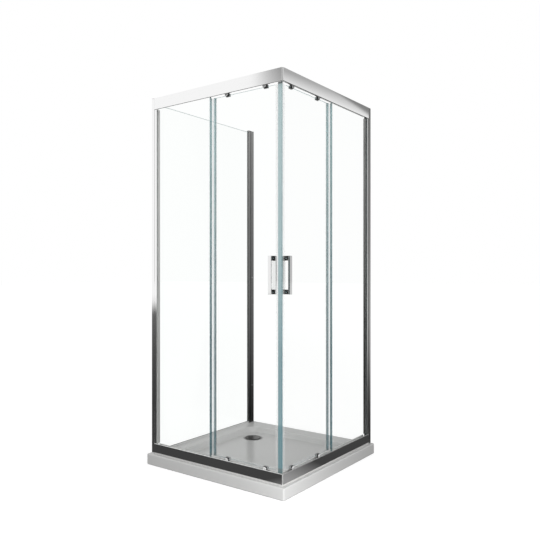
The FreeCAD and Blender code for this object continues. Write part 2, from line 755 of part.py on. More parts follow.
def carriage_ends():
    """For the bottom and the top: the glass's edge, the way out from the glass, the wheels' height."""
    return (DOOR_Z, -1, BOTTOM_WHEEL_Z), (DOOR_TOP, 1, TOP_WHEEL_Z)


def wheel_places(side):
    """Centre (s, z) of a door's eight wheels, bottom row first."""
    places = []
    for _, _, z in carriage_ends():
        for s in carriage_places(side):
            places += [(s - WHEEL_PITCH / 2, z), (s + WHEEL_PITCH / 2, z)]
    return places


def handle_places(side):
    """Place along the facade of a door's handle, and the height of its two legs."""
    reach = (HANDLE_HEIGHT - HANDLE_LEG) / 2
    return DOOR_LEAD[side] + HANDLE_INSET, (HANDLE_CENTRE - reach, HANDLE_CENTRE + reach)


def door_glass(side):
    """The sliding pane, drilled for the handle's studs."""
    pane = block(DOOR_LEAD[side], DOOR_TRAIL, DOOR_GLASS_N, DOOR_BACK_N, DOOR_Z, DOOR_TOP)
    s, legs = handle_places(side)
    for z in legs:
        pane = pane.cut(rod(STUD_R + STUD_GLASS_GAP, s, z, DOOR_GLASS_N, DOOR_BACK_N))
    return pane


def magnetic_seal(side):
    """The magnet strip on the leading edge, cut where the doors meet; its ends run into the rails."""
    lead = DOOR_LEAD[side]
    clip = edge_clip(lead, 1, DOOR_GLASS_N, DRIP_Z, DOOR_TOP)
    low = BOTTOM_RAIL_TOP - MAGNET_REACH
    high = TOP_RAIL_Z + MAGNET_REACH
    nose = block(0, lead, DOOR_GLASS_N - CLIP, DOOR_BACK_N + CLIP, low, high)
    return clear_of_mitre(joined(clip + [nose]), MAGNET_GAP)


def drip_seal(s0, s1):
    """A length of the clear strip that hangs below the door glass."""
    return joined([
        block(s0, s1, DOOR_GLASS_N - CLIP, DOOR_BACK_N + CLIP, DRIP_Z, DOOR_Z),
        block(s0, s1, DOOR_GLASS_N - CLIP, DOOR_GLASS_N, DOOR_Z, DOOR_Z + CLIP_GRIP),
        block(s0, s1, DOOR_BACK_N, DOOR_BACK_N + CLIP, DOOR_Z, DOOR_Z + CLIP_GRIP),
    ])


def door_seals(side):
    """The trailing edge's clip with its fin, and the drip strip between the carriages."""
    clip = edge_clip(DOOR_TRAIL, -1, DOOR_GLASS_N, DOOR_Z, DOOR_TOP)
    fin = [
        block(DOOR_TRAIL, DOOR_TRAIL + CLIP, FIN_N, DOOR_GLASS_N, DOOR_Z, DOOR_TOP),
        block(DOOR_TRAIL, DOOR_TRAIL + FIN_REACH, FIN_N, FIN_N + FIN, DOOR_Z, DOOR_TOP),
    ]
    shapes = [joined(clip + fin)]
    half = NECK_WIDTH / 2 + CARRIAGE_MARGIN
    first, second = carriage_places(side)
    start = DOOR_LEAD[side] + CLIP_GRIP
    end = DOOR_TRAIL - CLIP_GRIP
    spans = ((start, first - half), (first + half, second - half), (second + half, end))
    return shapes + [drip_seal(s0, s1) for s0, s1 in spans]


def carriage(s, edge, out, wheel_z):
    """One roller carriage: a plate with a neck beyond the glass's edge, and two jaws that grip the glass."""
    middle = edge + out * COVER_CENTRE
    neck = sorted((edge, edge + out * NECK_LENGTH))
    plate = sorted((edge + out * NECK_LENGTH, wheel_z + out * CARRIAGE_TAIL))
    inner = sorted((edge - out * COVER_OVERLAP, edge + out * CARRIAGE_TAIL))
    inset = 2 * (COVER_WALL + COVER_PLAY)
    jaw_n = DOOR_GLASS_N - COVER_DEPTH + COVER_WALL + COVER_PLAY
    narrow = (s - NECK_WIDTH / 2, s + NECK_WIDTH / 2)
    wide = (s - CARRIAGE_WIDTH / 2, s + CARRIAGE_WIDTH / 2)
    shapes = [
        block(narrow[0], narrow[1], DOOR_GLASS_N, DOOR_BACK_N, neck[0], neck[1]),
        block(wide[0], wide[1], DOOR_GLASS_N, DOOR_BACK_N, plate[0], plate[1]),
        stadium(COVER_LENGTH - inset, COVER_HEIGHT - inset, s, middle, jaw_n, DOOR_GLASS_N),
        block(narrow[0], narrow[1], DOOR_BACK_N, DOOR_BACK_N + JAW_INNER, inner[0], inner[1]),
    ]
    body = joined(shapes)
    for wheel_s in (s - WHEEL_PITCH / 2, s + WHEEL_PITCH / 2):
        body = body.cut(rod(AXLE_R + AXLE_SEAT, wheel_s, wheel_z, DOOR_GLASS_N, DOOR_BACK_N))
    return body


def carriages(side):
    """The four roller carriages of a door."""
    return [carriage(s, edge, out, z) for edge, out, z in carriage_ends() for s in carriage_places(side)]


def carriage_cover(s, edge, out):
    """The rounded cap over a carriage's outer jaw."""
    middle = edge + out * COVER_CENTRE
    front = DOOR_GLASS_N - COVER_DEPTH
    inset = 2 * COVER_WALL
    cap = stadium(COVER_LENGTH, COVER_HEIGHT, s, middle, front, DOOR_GLASS_N)
    pocket = stadium(COVER_LENGTH - inset, COVER_HEIGHT - inset, s, middle, front + COVER_WALL, DOOR_GLASS_N)
    return cap.cut(pocket)


def carriage_covers(side):
    """The four caps of a door's carriages."""
    return [carriage_cover(s, edge, out) for edge, out, _ in carriage_ends() for s in carriage_places(side)]


def wheel_axle(s, z):
    """A pin from the carriage's plate, with a collar and a head that keep the wheel in place."""
    return joined([
        rod(AXLE_R, s, z, DOOR_GLASS_N, WHEEL_BACK + AXLE_PLAY),
        rod(AXLE_HEAD_R, s, z, DOOR_BACK_N, WHEEL_N - AXLE_PLAY),
        rod(AXLE_HEAD_R, s, z, WHEEL_BACK + AXLE_PLAY, WHEEL_BACK + AXLE_PLAY + AXLE_HEAD),
    ])


def wheel(s, z):
    """A grooved wheel: its tread runs on the ridge and its flanges pass either side of it."""
    groove = RIDGE_WIDTH / 2 + RUN_GAP
    body = rod(WHEEL_R, s, z, WHEEL_N, WHEEL_BACK)
    tread = rod(WHEEL_R, s, z, RIDGE_N - groove, RIDGE_N + groove)
    tread = tread.cut(rod(TREAD_R, s, z, RIDGE_N - groove, RIDGE_N + groove))
    return body.cut(tread).cut(rod(AXLE_R + AXLE_FIT, s, z, WHEEL_N, WHEEL_BACK))


def travel_stop(side):
    """The rubber stops on the top rail's ledge, at both ends of the wheels' run."""
    first, second = carriage_places(side)
    half = WHEEL_PITCH / 2 + WHEEL_R + RUN_GAP
    closed = first - half
    opened = second + half + DOOR_TRAVEL
    foot = LEDGE_Z + LEDGE
    top = foot + STOP_HEIGHT
    ridge_n = RIDGE_N - RIDGE_WIDTH / 2
    ridge = block(0, RAIL_END[side], ridge_n, ridge_n + RIDGE_WIDTH, foot, foot + TOP_RIDGE)
    stops = []
    for s0 in (closed - STOP_LENGTH, opened):
        stop = block(s0, s0 + STOP_LENGTH, RAIL_BACK - LEDGE_WIDTH, RAIL_BACK, foot, top)
        stops.append(stop.cut(ridge))
    return stops


# ---------------------------------------------------------------- handles
def handle(side, bar_n, leg_n, leg_end):
    """A flat bow handle: an upright bar on two legs that stand on the door glass."""
    s, legs = handle_places(side)
    low = HANDLE_CENTRE - HANDLE_HEIGHT / 2
    edge = s - HANDLE_WIDTH / 2
    bar = block(edge, edge + HANDLE_WIDTH, bar_n, bar_n + HANDLE_DEPTH, low, low + HANDLE_HEIGHT)
    upright = [edge for edge in bar.Edges if edge.BoundBox.ZLength > HANDLE_HEIGHT - TINY]
    shapes = [bar.makeFillet(HANDLE_EDGE_R, upright)]
    half = HANDLE_LEG_WIDTH / 2
    for z in legs:
        shapes.append(block(s - half, s + half, leg_n, leg_end, z - HANDLE_LEG / 2, z + HANDLE_LEG / 2))
    whole = joined(shapes)
    for z in legs:
        whole = whole.cut(rod(STUD_R + AXLE_SEAT, s, z, DOOR_GLASS_N - STUD_GRIP, DOOR_BACK_N + STUD_GRIP))
    return whole


def outer_handle(side):
    """The handle outside the door glass."""
    back = DOOR_GLASS_N - HANDLE_STANDOFF
    return handle(side, back - HANDLE_DEPTH, back, DOOR_GLASS_N)


def inner_handle(side):
    """The handle inside the door glass."""
    front = DOOR_BACK_N + HANDLE_STANDOFF
    return handle(side, front, DOOR_BACK_N, front)


def handle_studs(side):
    """The two studs that join the outer and inner handles through the glass."""
    s, legs = handle_places(side)
    return [rod(STUD_R, s, z, DOOR_GLASS_N - STUD_GRIP, DOOR_BACK_N + STUD_GRIP) for z in legs]


# ---------------------------------------------------------------- assembly
def tray_nodes():
    """The tray and its waste."""
    return {
        "shower_tray": [shower_tray()],
        "tray_base_block": [tray_base_block()],
        "waste_flange": [waste_flange()],
        "waste_nut": [waste_nut()],
        "waste_cup": [waste_cup()],
        "waste_cover": [waste_cover()],
    }


def frame_nodes():
    """The fixed frame: rails, post, channels and what holds them together."""
    nodes = {
        "base_strips": on_both(base_strip),
        "corner_post": [corner_post()],
        "wall_channels": wall_channels(),
        "glazing_profiles": glazing_profiles(),
        "side_bottom_profile": [side_bottom_profile()],
        "profile_caps": profile_caps(),
        "rail_corner_brackets": corner_brackets(),
        "rail_end_brackets": on_both(end_bracket),
        "frame_screws": frame_screws(),
        "travel_stops": on_both(travel_stop),
    }
    for side in SIDES:
        screws = bracket_screws(side)
        nodes[side + "_bottom_rail"] = [placed(side, drilled(bottom_rail(RAIL_END[side]), screws))]
        nodes[side + "_top_rail"] = [placed(side, drilled(top_rail(RAIL_END[side]), screws))]
    return nodes


def glass_nodes():
    """The fixed panes and their gaskets and seals."""
    nodes = {
        "side_glass": [side_glass()],
        "glazing_gaskets": glazing_gaskets(),
        "fixed_edge_seals": on_both(fixed_edge_seal),
    }
    for side in SIDES:
        nodes[side + "_fixed_glass"] = [placed(side, fixed_glass(side))]
    return nodes


def door_nodes(side):
    """One sliding door with its seals, handles, carriages and wheels."""
    pieces = {
        "door_glass": [door_glass(side)],
        "magnetic_seal": [magnetic_seal(side)],
        "door_seals": door_seals(side),
        "outer_handle": [outer_handle(side)],
        "inner_handle": [inner_handle(side)],
        "handle_studs": handle_studs(side),
        "carriages": carriages(side),
        "carriage_covers": carriage_covers(side),
        "wheel_axles": [wheel_axle(s, z) for s, z in wheel_places(side)],
    }
    for number, (s, z) in enumerate(wheel_places(side), 1):
        pieces["wheel_%d" % number] = [wheel(s, z)]
    return {side + "_" + name: [placed(side, shape) for shape in shapes] for name, shapes in pieces.items()}


def main():
    """Write one file for each node."""
    nodes = {}
    nodes.update(tray_nodes())
    nodes.update(frame_nodes())
    nodes.update(glass_nodes())
    for side in SIDES:
        nodes.update(door_nodes(side))
    os.makedirs("parts", exist_ok=True)
    for name, shapes in nodes.items():
        shape = shapes[0] if len(shapes) == 1 else Part.makeCompound(shapes)
        shape.exportStep("parts/" + name + ".step")


main()
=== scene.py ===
import json
import math
import bpy
from mathutils import Matrix, Vector

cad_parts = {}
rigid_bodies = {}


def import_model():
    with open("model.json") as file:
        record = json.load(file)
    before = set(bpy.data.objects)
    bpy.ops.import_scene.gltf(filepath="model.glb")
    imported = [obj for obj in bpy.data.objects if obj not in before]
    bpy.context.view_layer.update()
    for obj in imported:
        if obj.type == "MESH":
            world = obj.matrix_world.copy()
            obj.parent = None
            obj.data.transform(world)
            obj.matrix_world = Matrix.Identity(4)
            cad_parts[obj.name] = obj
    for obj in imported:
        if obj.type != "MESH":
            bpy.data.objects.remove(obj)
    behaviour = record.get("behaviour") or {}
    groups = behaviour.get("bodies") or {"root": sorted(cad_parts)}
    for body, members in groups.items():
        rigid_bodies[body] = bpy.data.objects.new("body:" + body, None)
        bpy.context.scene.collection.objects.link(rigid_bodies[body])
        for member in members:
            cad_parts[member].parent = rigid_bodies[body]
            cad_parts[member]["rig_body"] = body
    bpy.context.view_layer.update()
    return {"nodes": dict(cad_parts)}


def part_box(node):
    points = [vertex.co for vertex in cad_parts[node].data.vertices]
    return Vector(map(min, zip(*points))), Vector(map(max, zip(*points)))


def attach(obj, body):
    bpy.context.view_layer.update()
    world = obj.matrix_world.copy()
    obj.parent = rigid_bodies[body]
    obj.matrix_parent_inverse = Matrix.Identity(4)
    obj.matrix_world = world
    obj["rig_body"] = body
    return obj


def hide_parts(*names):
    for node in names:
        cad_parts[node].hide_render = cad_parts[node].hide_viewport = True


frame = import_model()


# ---------------------------------------------------------------- the shower tray
# One sheet of white sanitary acrylic, drawn down over a mould with its rim, basin and skirt, so that
# every bend is soft. A filled resin core is bonded under it, and carries it on the floor.
class Value:
    """A number read off a surface. Python's own operators add the finish's Math nodes."""

    def __init__(self, finish, socket):
        self.finish = finish
        self.socket = socket

    def maths(self, operation, *numbers):
        inputs = dict(enumerate(numbers))
        return self.finish.add("ShaderNodeMath", {"operation": operation}, inputs)["Value"]

    def __add__(self, other):
        return self.maths("ADD", self, other)

    def __sub__(self, other):
        return self.maths("SUBTRACT", self, other)

    def __rsub__(self, other):
        return self.maths("SUBTRACT", other, self)

    def __mul__(self, other):
        return self.maths("MULTIPLY", self, other)

    def __truediv__(self, other):
        return self.maths("DIVIDE", self, other)

    def __lt__(self, other):
        return self.maths("LESS_THAN", self, other)

    def __gt__(self, other):
        return self.maths("GREATER_THAN", self, other)

    def __abs__(self):
        return self.maths("ABSOLUTE", self)

    def held(self):
        """The same number, kept from 0 to 1."""
        return self.maths("MINIMUM", self.maths("MAXIMUM", self, 0.0), 1.0)


class Finish:
    """One finish: a material, or the studio's own background, made node by node."""

    def __init__(self, owner):
        owner.use_nodes = True
        self.owner = owner
        self.nodes = owner.node_tree.nodes
        self.links = owner.node_tree.links
        self.nodes.clear()
        self.place = self.add("ShaderNodeTexCoord")["Object"]
        self.along = self.add("ShaderNodeSeparateXYZ", {}, {"Vector": self.place})

    def add(self, kind, settings={}, inputs={}):
        """A node with its settings, then the values and links of its sockets. Gives its outputs by name."""
        node = self.nodes.new(kind)
        for name, setting in settings.items():
            if name == "stops":
                while len(node.color_ramp.elements) < len(setting):
                    node.color_ramp.elements.new(1.0)
                for element, (position, grey) in zip(node.color_ramp.elements, setting):
                    element.position = position
                    element.color = (grey, grey, grey, 1.0)
            else:
                setattr(node, name, setting)
        open_inputs = [socket for socket in node.inputs if socket.enabled]
        for name, given in inputs.items():
            if isinstance(name, int):
                socket = open_inputs[name]
            else:
                socket = next(s for s in open_inputs if s.name == name)
            if isinstance(given, Value):
                self.links.new(given.socket, socket)
            else:
                socket.default_value = given
        return {output.name: Value(self, output) for output in node.outputs if output.enabled}

    def blend(self, share, first, second):
        """A colour between two others."""
        inputs = {"Factor": share, "A": first, "B": second}
        return self.add("ShaderNodeMix", {"data_type": "RGBA"}, inputs)["Result"]

    def noise(self, scale, detail=2.0, stretch=(1.0, 1.0, 1.0)):
        """Cloudy variation; a small stretch draws it out along that axis."""
        mapped = self.add("ShaderNodeMapping", {}, {"Vector": self.place, "Scale": stretch})["Vector"]
        inputs = {"Vector": mapped, "Scale": scale, "Detail": detail}
        return self.add("ShaderNodeTexNoise", {}, inputs)["Fac"]

    def bump(self, height, strength, distance, under=None):
        """Relief in the surface, laid over other relief where under gives it."""
        inputs = {"Height": height, "Strength": strength, "Distance": distance}
        if under is not None:
            inputs["Normal"] = under
        return self.add("ShaderNodeBump", {}, inputs)["Normal"]

    def surface(self, inputs):
        """A plain solid surface, as the finish's output."""
        self.close(self.add("ShaderNodeBsdfPrincipled", {}, inputs)["BSDF"])

    def close(self, shader):
        kind = "World" if isinstance(self.owner, bpy.types.World) else "Material"
        self.add("ShaderNodeOutput" + kind, {}, {"Surface": shader})


def new_finish(name):
    return Finish(bpy.data.materials.new(name))


def dress(finish, *names):
    """Give CAD nodes their finish."""
    for name in names:
        for slot in frame["nodes"][name].material_slots:
            slot.material = finish.owner


def alone(piece):
    """Make a piece the only one that the next tools work on."""
    bpy.ops.object.select_all(action="DESELECT")
    piece.select_set(True)
    bpy.context.view_layer.objects.active = piece


WELD = 0.00001
FLAT = math.radians(1.0)
SHARP = math.radians(15.0)


def copied(node):
    """The node's own shape as a new piece, with its faces merged so that it can be worked on."""
    piece = bpy.data.objects.new(node + "_shell", frame["nodes"][node].data.copy())
    bpy.context.scene.collection.objects.link(piece)
    alone(piece)
    bpy.ops.mesh.customdata_custom_splitnormals_clear()
    bpy.ops.object.mode_set(mode="EDIT")
    bpy.ops.mesh.select_all(action="SELECT")
    bpy.ops.mesh.remove_doubles(threshold=WELD)
    bpy.ops.mesh.dissolve_limited(angle_limit=FLAT)
    bpy.ops.object.mode_set(mode="OBJECT")
    return piece


def pick(piece, kind, wanted):
    """Go into edit mode with those corners, sharp edges or faces selected whose places are wanted."""
    bpy.ops.object.mode_set(mode="EDIT")
    bpy.ops.mesh.select_mode(type=kind)
    bpy.ops.mesh.select_all(action="DESELECT")
    if kind == "EDGE":
        bpy.ops.mesh.edges_select_sharp(sharpness=SHARP)
    bpy.ops.object.mode_set(mode="OBJECT")
    mesh = piece.data
    if kind == "VERT":
        for corner in mesh.vertices:
            corner.select = wanted(corner.co)
    elif kind == "EDGE":
        for edge in mesh.edges:
            edge.select = edge.select and all(wanted(mesh.vertices[end].co) for end in edge.vertices)
        # Edit mode reads all three lists, so corners and faces are set to match the edges.
        chosen = {end for edge in mesh.edges if edge.select for end in edge.vertices}
        for corner in mesh.vertices:
            corner.select = corner.index in chosen
        for face in mesh.polygons:
            face.select = False
    else:
        for face in mesh.polygons:
            face.select = wanted(face.center)
    bpy.ops.object.mode_set(mode="EDIT")


def smoothed(piece, degrees=35.0):
    """Back to object mode, with soft bends shaded smooth, and corners and broad faces left true."""
    if piece.mode == "EDIT":
        bpy.ops.object.mode_set(mode="OBJECT")
    alone(piece)
    bpy.ops.object.shade_smooth_by_angle(angle=math.radians(degrees))
    bpy.ops.object.modifier_add(type="WEIGHTED_NORMAL")
    piece.modifiers[-1].weight = 100
    piece.modifiers[-1].keep_sharp = True
    bpy.ops.object.modifier_apply(modifier=piece.modifiers[-1].name)


def middle_of(node):
    low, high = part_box(node)
    return (low + high) / 2.0


def takes_place(piece, node, finish):
    """The piece stands for a CAD node, on the same body, in this finish."""
    piece.data.materials.clear()
    piece.data.materials.append(finish.owner)
    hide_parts(node)
    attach(piece, frame["nodes"][node]["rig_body"])


TRAY_WHITE = (0.66, 0.66, 0.655, 1.0)
TRAY_SHADE = (0.63, 0.63, 0.625, 1.0)
# The tray's lowest few millimetres are painted dark grey, as painted shade of a contact shadow at the foot.
TRAY_FOOT_PAINTED_SHADE = (0.30, 0.30, 0.30, 1.0)
PAINTED_SHADE_FOOT_HEIGHT = 0.003
RIM_LEAST = 0.09
BASIN_EDGE = 0.007
BASIN_COVE = 0.010
WASTE_CLEAR = 0.1
HAIR = 0.0005
SLIVER = 0.0025

acrylic = new_finish("tray_acrylic")
clouds = acrylic.noise(6.0)
sheet_white = acrylic.blend(clouds, TRAY_WHITE, TRAY_SHADE)
# Below the foot height, the sheet's colour gives way to the painted shade at the foot.
acrylic.surface({
    "Base Color": acrylic.blend(acrylic.along["Z"] < PAINTED_SHADE_FOOT_HEIGHT, sheet_white, TRAY_FOOT_PAINTED_SHADE),
    "Roughness": acrylic.noise(35.0) * 0.04 + 0.16,
    "Normal": acrylic.bump(acrylic.noise(90.0), 0.05, 0.0004),
    "IOR": 1.49,
})

tray_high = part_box("shower_tray")[1]
waste_middle = middle_of("waste_flange")
basin_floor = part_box("waste_flange")[1].z + HAIR
basin_reach = tray_high.x - RIM_LEAST
tray = copied("shower_tray")
pick(tray, "EDGE", lambda at: at.z > tray_high.z - HAIR and max(abs(at.x), abs(at.y)) < basin_reach)
bpy.ops.mesh.bevel(offset=BASIN_EDGE, segments=4)
pick(tray, "EDGE", lambda at: abs(at.z - basin_floor) < HAIR and (at - waste_middle).xy.length > WASTE_CLEAR)
bpy.ops.mesh.bevel(offset=BASIN_COVE, segments=4)
# The bevels leave a sliver along the floor, which is closed by merging its corners.
pick(tray, "VERT", lambda at: abs(at.z - basin_floor) < HAIR)
bpy.ops.mesh.remove_doubles(threshold=SLIVER)
smoothed(tray)
takes_place(tray, "shower_tray", acrylic)

CORE_GREY = (0.42, 0.41, 0.39, 1.0)
CORE_SPECK = (0.30, 0.29, 0.27, 1.0)

core = new_finish("tray_core")
grit = core.noise(260.0, 4.0)
core.surface({
    "Base Color": core.blend(grit, CORE_GREY, CORE_SPECK),
    "Roughness": 0.85,
    "Normal": core.bump(grit, 0.4, 0.001),
})
dress(core, "tray_base_block")


# ---------------------------------------------------------------- the waste
# A moulded flange is clamped through the tray by a ring nut, and a strainer cup lifts out of it.
# A plated cover on three legs hides it, and the water runs in under its edge.
PLASTIC = (0.30, 0.30, 0.30, 1.0)
PLASTIC_DULL = (0.25, 0.25, 0.25, 1.0)
# The plated cover's colour is kept very dark, as painted dark reflection in its plating.
COVER_PAINTED_REFLECTION = (0.16, 0.16, 0.155, 1.0)
COVER_PAINTED_REFLECTION_DULL = (0.12, 0.12, 0.115, 1.0)

plastic = new_finish("grey_plastic")
plastic.surface({
    "Base Color": plastic.blend(plastic.noise(50.0), PLASTIC, PLASTIC_DULL),
    "Roughness": plastic.noise(120.0) * 0.1 + 0.35,
    "Normal": plastic.bump(plastic.noise(900.0), 0.1, 0.0002),
})
dress(plastic, "waste_flange", "waste_nut", "waste_cup")

drain_cover = new_finish("drain_cover")
polish = drain_cover.noise(1.0, 3.0, (60.0, 900.0, 60.0))
# Painted reflection: the cover's plating is given a dark colour that stands in for what it mirrors.
drain_cover.surface({
    "Base Color": drain_cover.blend(polish, COVER_PAINTED_REFLECTION, COVER_PAINTED_REFLECTION_DULL),
    "Metallic": 1.0,
    "Roughness": polish * 0.1 + 0.22,
    "Normal": drain_cover.bump(polish, 0.05, 0.0002),
})
dress(drain_cover, "waste_cover")


# ---------------------------------------------------------------- packing strips
# Light strips of satin plastic, cut to length, lie between the rim and the bottom rails. They carry
# the enclosure and keep its metal off the acrylic.
CORNER_BEND = math.radians(40.0)


def eased(node, width, steps=2):
    """The node's shape with all its sharp edges broken, as a die or a file leaves them."""
    piece = copied(node)
    bpy.ops.object.modifier_add(type="BEVEL")
    edge = piece.modifiers[-1]
    edge.width = width
    edge.segments = steps
    edge.limit_method = "ANGLE"
    edge.angle_limit = CORNER_BEND
    edge.miter_outer = "MITER_ARC"
    bpy.ops.object.modifier_apply(modifier=edge.name)
    smoothed(piece)
    return piece


STRIP_WHITE = (0.62, 0.62, 0.61, 1.0)
STRIP_SHADE = (0.56, 0.56, 0.55, 1.0)
STRIP_EDGE = 0.0008

strip = new_finish("light_strip")
strip.surface({
    "Base Color": strip.blend(strip.noise(40.0), STRIP_WHITE, STRIP_SHADE),
    "Roughness": strip.noise(90.0) * 0.1 + 0.4,
})
takes_place(eased("base_strips", STRIP_EDGE), "base_strips", strip)


# ---------------------------------------------------------------- rails
# Polished aluminium extrusions with a wheel ridge inside, mitred at the corner where the doors meet.
# The front of the right top rail is slightly crowned, so it mirrors the room from light to grey.
def extruded(name, stretch, roughness, crown_middle=None, inside=None):
    """Drawn aluminium, with fine lines from the die. inside(finish) masks the inner faces, which are painted
    pale and matt as painted reflected light.
    """
    finish = new_finish(name)
    lines = finish.noise(1.0, 2.0, stretch)
    relief = finish.bump(lines, 0.02, 0.0002)
    colour = finish.blend(lines, BRIGHT, BRIGHT_DULL)
    inner = 0.0
    if inside is not None:
        # The inner faces get a pale matt colour in place of bare metal, as painted reflected light.
        inner = inside(finish)
        # A thin band at the top rails' lower edge is painted near black, as painted shade.
        lower_edge_painted_shade = (finish.along["Z"] > rail_low.z - HAIR) * (finish.along["Z"] < rail_low.z + LOWER_EDGE_SHADE_BAND)
        colour = finish.blend(inner, finish.blend(lower_edge_painted_shade, colour, LOWER_EDGE_PAINTED_SHADE), INSIDE_PAINTED_LIGHT)
    if crown_middle is not None:
        from_middle = finish.along["Z"] - crown_middle
        relief = finish.bump(from_middle * from_middle * (-0.5 / CROWN_RADIUS), 1.0, 1.0, relief)
    finish.surface({
        "Base Color": colour,
        "Metallic": 1.0 - inner,
        "Roughness": lines * 0.04 + inner * 0.5 + roughness,
        "Normal": relief,
    })
    return finish


ALONG_X = (3.0, 900.0, 900.0)
ALONG_Y = (900.0, 3.0, 900.0)
CROWN_RADIUS = 0.40
BRIGHT = (0.96, 0.96, 0.96, 1.0)
BRIGHT_DULL = (0.92, 0.92, 0.92, 1.0)
# The pale matt colour painted on the rails' inner faces, as painted reflected light.
INSIDE_PAINTED_LIGHT = (0.80, 0.80, 0.79, 1.0)
# The painted shade along the top rails' lower edge, and how high its band is.
LOWER_EDGE_PAINTED_SHADE = (0.05, 0.05, 0.05, 1.0)
LOWER_EDGE_SHADE_BAND = 0.0015
WALL = 0.002
RAIL_EDGE = 0.0004
RAIL_POLISH = 0.04

rail_low, rail_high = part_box("left_top_rail")
crown_middle = middle_of("left_top_rail").z


def left_inside(finish):
    return finish.along["Y"] > rail_low.y + WALL


def right_inside(finish):
    return finish.along["X"] < -rail_low.y - WALL


left_rail = extruded("left_rail", ALONG_X, RAIL_POLISH, None, left_inside)
right_rail = extruded("right_rail", ALONG_Y, RAIL_POLISH, None, right_inside)
right_crowned = extruded("right_crowned_rail", ALONG_Y, RAIL_POLISH, crown_middle, right_inside)
rails = {"left_bottom_rail": left_rail, "right_bottom_rail": right_rail,
         "left_top_rail": left_rail, "right_top_rail": right_crowned}
for node, rail_finish in rails.items():
    takes_place(eased(node, RAIL_EDGE), node, rail_finish)


# ---------------------------------------------------------------- post, wall channels and glazing profiles
# Extruded aluminium, cut square at both ends. The post is polished bright, with a pale satin profile
# beside it; the channels on the wall, and the profiles in them, have a darker satin finish.
UPRIGHT = (900.0, 900.0, 3.0)
# The satin and pale colours change with height as painted reflection; at the channel's facade end it is
# painted lighter at the foot.
SATIN_TOP = (0.40, 0.40, 0.395, 1.0)
SATIN_PAINTED_FOOT = (0.13, 0.13, 0.13, 1.0)
PALE_TOP = (0.95, 0.95, 0.94, 1.0)
PALE_PAINTED_FOOT = (0.55, 0.55, 0.54, 1.0)
CHANNEL_TOP = (0.32, 0.32, 0.315, 1.0)
CHANNEL_PAINTED_FOOT = (0.40, 0.40, 0.395, 1.0)
FRONT = 0.428
BY_POST = -0.38
POST_POLISH = 0.03
SILL_POLISH = 0.08
POST_EDGE = 0.0008
CHANNEL_EDGE = 0.0006
PROFILE_EDGE = 0.0004


def satin_painted_by_height(finish):
    """How far up the object a place is, and the satin colour there: painted dark at the foot and lighter
    above, as painted reflection.
    """
    up = (finish.along["Z"] / rail_high.z).held()
    return up, finish.blend(up * up * up, SATIN_PAINTED_FOOT, SATIN_TOP)


def beside_the_post(finish):
    return (finish.along["X"] < BY_POST) * (finish.along["Y"] < BY_POST)


bright_post = extruded("bright_post", UPRIGHT, POST_POLISH)
bright_sill = extruded("bright_sill", ALONG_Y, SILL_POLISH)
takes_place(eased("corner_post", POST_EDGE), "corner_post", bright_post)
takes_place(eased("side_bottom_profile", PROFILE_EDGE), "side_bottom_profile",
            bright_sill)

satin_post = new_finish("satin_post")
die_lines = satin_post.noise(1.0, 2.0, UPRIGHT)
facade_end = satin_post.along["X"] > 0.0
# Both satin colours change with height, as painted reflection.
up_the_post, back_painted_satin = satin_painted_by_height(satin_post)
front_painted_satin = satin_post.blend(up_the_post, CHANNEL_PAINTED_FOOT, CHANNEL_TOP)
satin_post.surface({
    "Base Color": satin_post.blend(facade_end, back_painted_satin, front_painted_satin),
    "Metallic": 1.0,
    "Roughness": die_lines * 0.06 + 0.30,
    "Normal": satin_post.bump(die_lines, 0.05, 0.0002),
})
takes_place(eased("wall_channels", CHANNEL_EDGE), "wall_channels", satin_post)

glazing = new_finish("glazing_profile")
glazing_lines = glazing.noise(1.0, 2.0, UPRIGHT)
up_the_glazing, satin = satin_painted_by_height(glazing)
beside_post = beside_the_post(glazing)
mirror_face = glazing.along["Y"] < -FRONT
pale = (beside_post + (glazing.along["X"] > FRONT)).held()
# The pale profile is also painted darker towards the foot, as painted reflection.
satin = glazing.blend(pale, satin, glazing.blend(up_the_glazing, PALE_PAINTED_FOOT, PALE_TOP))
glazing.surface({
    "Base Color": glazing.blend(mirror_face, satin, BRIGHT),
    "Metallic": 1.0 - (beside_post - mirror_face) * 0.3,
    "Roughness": beside_post * 0.2 - mirror_face * 0.45 + 0.28,
    "Normal": glazing.bump(glazing_lines, 0.05, 0.0002),
})
takes_place(eased("glazing_profiles", PROFILE_EDGE), "glazing_profiles", glazing)
takes_place(eased("profile_caps", PROFILE_EDGE), "profile_caps", plastic)


# ---------------------------------------------------------------- brackets, screws and stops
# Cast inserts join the rails at the corner and the ends, held by pan head screws of stainless steel.
# Rubber stops on the top rails' ledges end the run of the doors.
STEEL = (0.55, 0.55, 0.55, 1.0)
STEEL_DULL = (0.45, 0.45, 0.45, 1.0)
BLACK = (0.02, 0.02, 0.02, 1.0)
BLACK_WORN = (0.035, 0.035, 0.035, 1.0)

steel = new_finish("steel")
steel.surface({
    "Base Color": steel.blend(steel.noise(60.0), STEEL, STEEL_DULL),
    "Metallic": 1.0,
    "Roughness": steel.noise(200.0) * 0.15 + 0.25,
})
dress(steel, "frame_screws", "rail_corner_brackets", "rail_end_brackets",
      "left_wheel_axles", "right_wheel_axles")

rubber = new_finish("black_rubber")
rubber.surface({
    "Base Color": rubber.blend(rubber.noise(150.0), BLACK, BLACK_WORN),
    "Roughness": 0.7,
    "Normal": rubber.bump(rubber.noise(900.0), 0.2, 0.0003),
})
dress(rubber, "travel_stops")


